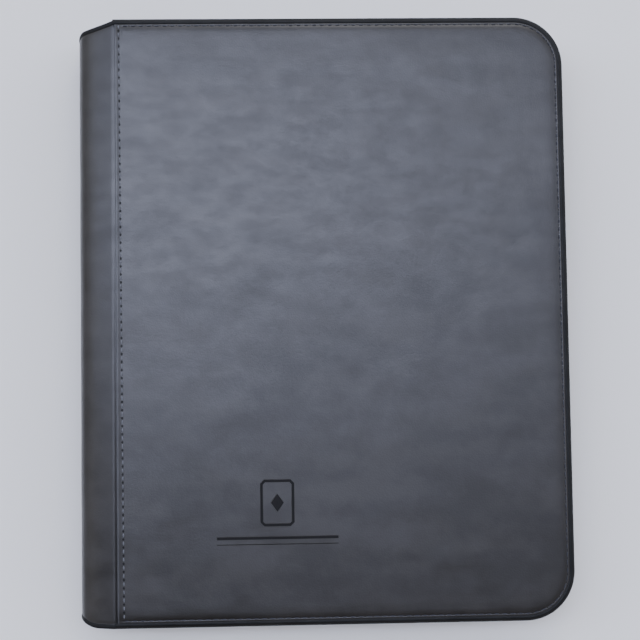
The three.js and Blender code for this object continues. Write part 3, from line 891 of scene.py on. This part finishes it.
def leaf(number):
    node = f"leaf_{number:02d}"
    low, high = box_mm(node)
    z = (low[2] + high[2]) / 2
    xs = leaf_stations(low[0], high[0], LEAF_MARGIN, LEAF_BORDER)
    ys = leaf_stations(low[1], high[1], LEAF_BORDER, LEAF_BORDER)
    verts = []
    for way in (1, -1):
        for y, up in ys:
            for x, across in xs:
                pocket = min(up, across) if up and across else 0.0
                ripple = 0.04 * noise.noise(Vector((x * 0.05, y * 0.05, number * 3.7 + way)))
                verts.append((x, y, z + way * (0.10 + 0.19 * pocket + (ripple if pocket > 0.6 else 0.0))))
    rows, columns = len(ys), len(xs)
    faces = strip_faces(rows, columns)
    kinds = []
    for i in range(rows - 1):
        for j in range(columns - 1):
            inside = min(ys[i][1], ys[i + 1][1]) > 0 and min(xs[j][1], xs[j + 1][1]) > 0
            kinds.append(1 if inside else 0)
    faces += [tuple(rows * columns + i for i in f) for f in strip_faces(rows, columns)]
    kinds += kinds
    border = list(range(columns)) + [i * columns + columns - 1 for i in range(1, rows)]
    border += [(rows - 1) * columns + j for j in range(columns - 2, -1, -1)]
    border += [i * columns for i in range(rows - 2, 0, -1)]
    for a, b in zip(border, border[1:] + border[:1]):
        faces.append((a, b, rows * columns + b, rows * columns + a))
        kinds.append(0)
    piece = make(f"pocket_leaf_{number:02d}", verts, faces, ["backing", "film"], kinds, smooth_angle=30)
    place(piece, node, "leaf_film", node)


for number in range(1, LEAF_COUNT + 1):
    leaf(number)

CAD_LOOKS = {
    "front_cover_foam": "foam",
    "back_cover_foam": "foam",
    "front_cover_board": "board",
    "back_cover_board": "board",
    "spine_board": "board",
}
for node, material in CAD_LOOKS.items():
    cad = frame["nodes"][node]
    cad.data.materials.clear()
    cad.data.materials.append(M[material])


# ---- Floor, light and camera ----


def area_light(name, place_m, target, size, power, color):
    light = bpy.data.lights.new(name, "AREA")
    light.shape = "RECTANGLE"
    light.size, light.size_y = size
    light.energy = power
    light.color = color
    lamp = bpy.data.objects.new(name, light)
    lamp.location = place_m
    lamp.rotation_euler = (Vector(target) - Vector(place_m)).to_track_quat("-Z", "Y").to_euler()
    bpy.context.scene.collection.objects.link(lamp)


def studio():
    mesh = bpy.data.meshes.new("floor")
    half = FLOOR_HALF
    corners = [(-half, -half, 0), (half, -half, 0), (half, half, 0), (-half, half, 0)]
    mesh.from_pydata(corners, [], [(0, 1, 2, 3)])
    nodes = Nodes("floor_paint")
    mesh.materials.append(nodes.finish((0.95, 0.935, 0.905), 0.9, Specular_IOR_Level=0.1))
    floor = bpy.data.objects.new("floor", mesh)
    bpy.context.scene.collection.objects.link(floor)
    bpy.context.scene.world = studio_room()
    area_light("soft_box", (0.35, 1.6, 1.5), (0.0, 0.0, 0), (0.9, 0.7), 8, (1.0, 0.98, 0.96))


def studio_room():
    """Pale walls under a dark ceiling with one soft bluish window, over the head and the spine side."""
    sky = Nodes("studio_room", world=True)
    parts = sky.node("ShaderNodeSeparateXYZ")
    sky.link(sky.place, parts.inputs[0])
    x, y, z = parts.outputs
    wall = sky.math("MULTIPLY", sky.remap(z, 0.38, 0.60, 1.0, 0.0), sky.remap(z, 0.02, 0.42, 0.25, 1.0))
    wall = sky.math("MULTIPLY", wall, sky.remap(x, -0.9, -0.1, 0.45, 1.0))
    walls = sky.math("MULTIPLY", wall, sky.remap(y, -0.8, 0.8, WALL_LOW, WALL_HIGH))
    window = sky.math("MULTIPLY", sky.remap(y, -0.03, 0.13), sky.remap(y, 0.17, 0.34, 1.0, 0.1))
    window = sky.math("MULTIPLY", window, sky.remap(x, -0.70, -0.20, 0.44, 1.0))
    window = sky.math("MULTIPLY", window, sky.remap(x, 0.0, 0.26, 1.0, 0.28))
    window = sky.math("MULTIPLY", sky.math("MULTIPLY", window, sky.remap(z, 0.35, 0.55)), WINDOW_LEVEL)
    level = sky.math("ADD", sky.math("ADD", walls, window), CEILING_LEVEL)
    wall_color = sky.mix(sky.remap(y, -0.6, 0.7), (1.0, 0.955, 0.93), (0.88, 0.92, 1.0))
    sky.link(sky.mix(sky.math("DIVIDE", window, level), wall_color, (0.69, 0.75, 0.98)), sky.shader.inputs[0])
    sky.link(level, sky.shader.inputs[1])
    return sky.material


def photo_camera():
    camera = bpy.data.cameras.new("camera")
    camera.lens = CAMERA_LENS
    camera.sensor_width = 36
    eye = bpy.data.objects.new("camera", camera)
    eye.rotation_mode = "ZYX"
    eye.location = CAMERA_PLACE
    eye.rotation_euler = [math.radians(turn) for turn in CAMERA_TURN]
    bpy.context.scene.collection.objects.link(eye)
    bpy.context.scene.camera = eye


studio()
photo_camera()
